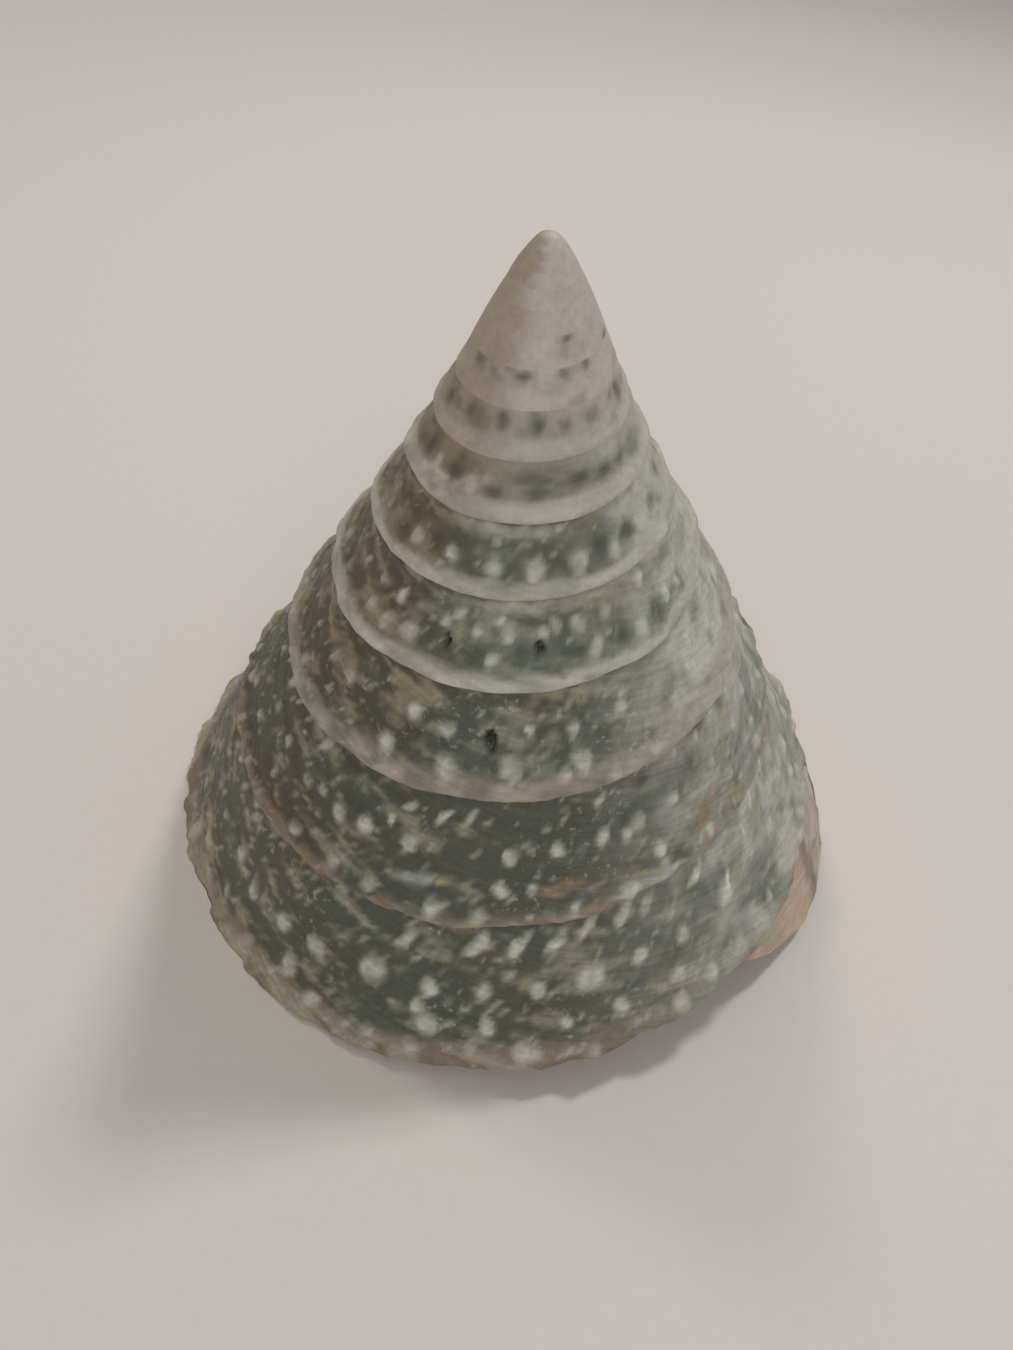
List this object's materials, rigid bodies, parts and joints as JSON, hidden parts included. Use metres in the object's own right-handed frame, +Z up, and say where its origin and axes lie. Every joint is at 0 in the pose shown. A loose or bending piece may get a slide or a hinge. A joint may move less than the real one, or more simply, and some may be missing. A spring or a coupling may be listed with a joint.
{
  "type": "top shell",
  "caption": "Tall conical seashell, a top shell with a right-handed spiral, beaded whorls with a raised lower edge, a worn pale tip and a slanting open mouth underneath.",
  "frame": {"origin": "on the ground, under the middle of the shell's bounding box as it stands by itself", "axes": "+Z up; -Y is the side that faces the viewer in the picture; +X to the viewer's right, where the lip's corner is. The shell's own axis leans 8.6 degrees from +Z, away from the lip"},
  "size_m": [0.0556, 0.0542, 0.0508],
  "materials": {
    "shell": "weathered shell: mottled grey-green and cream with pale beads outside, bleached at the tip, pearly inside the mouth"
  },
  "bodies": {
    "root": {"shell": "shell"}
  },
  "joints": []
}
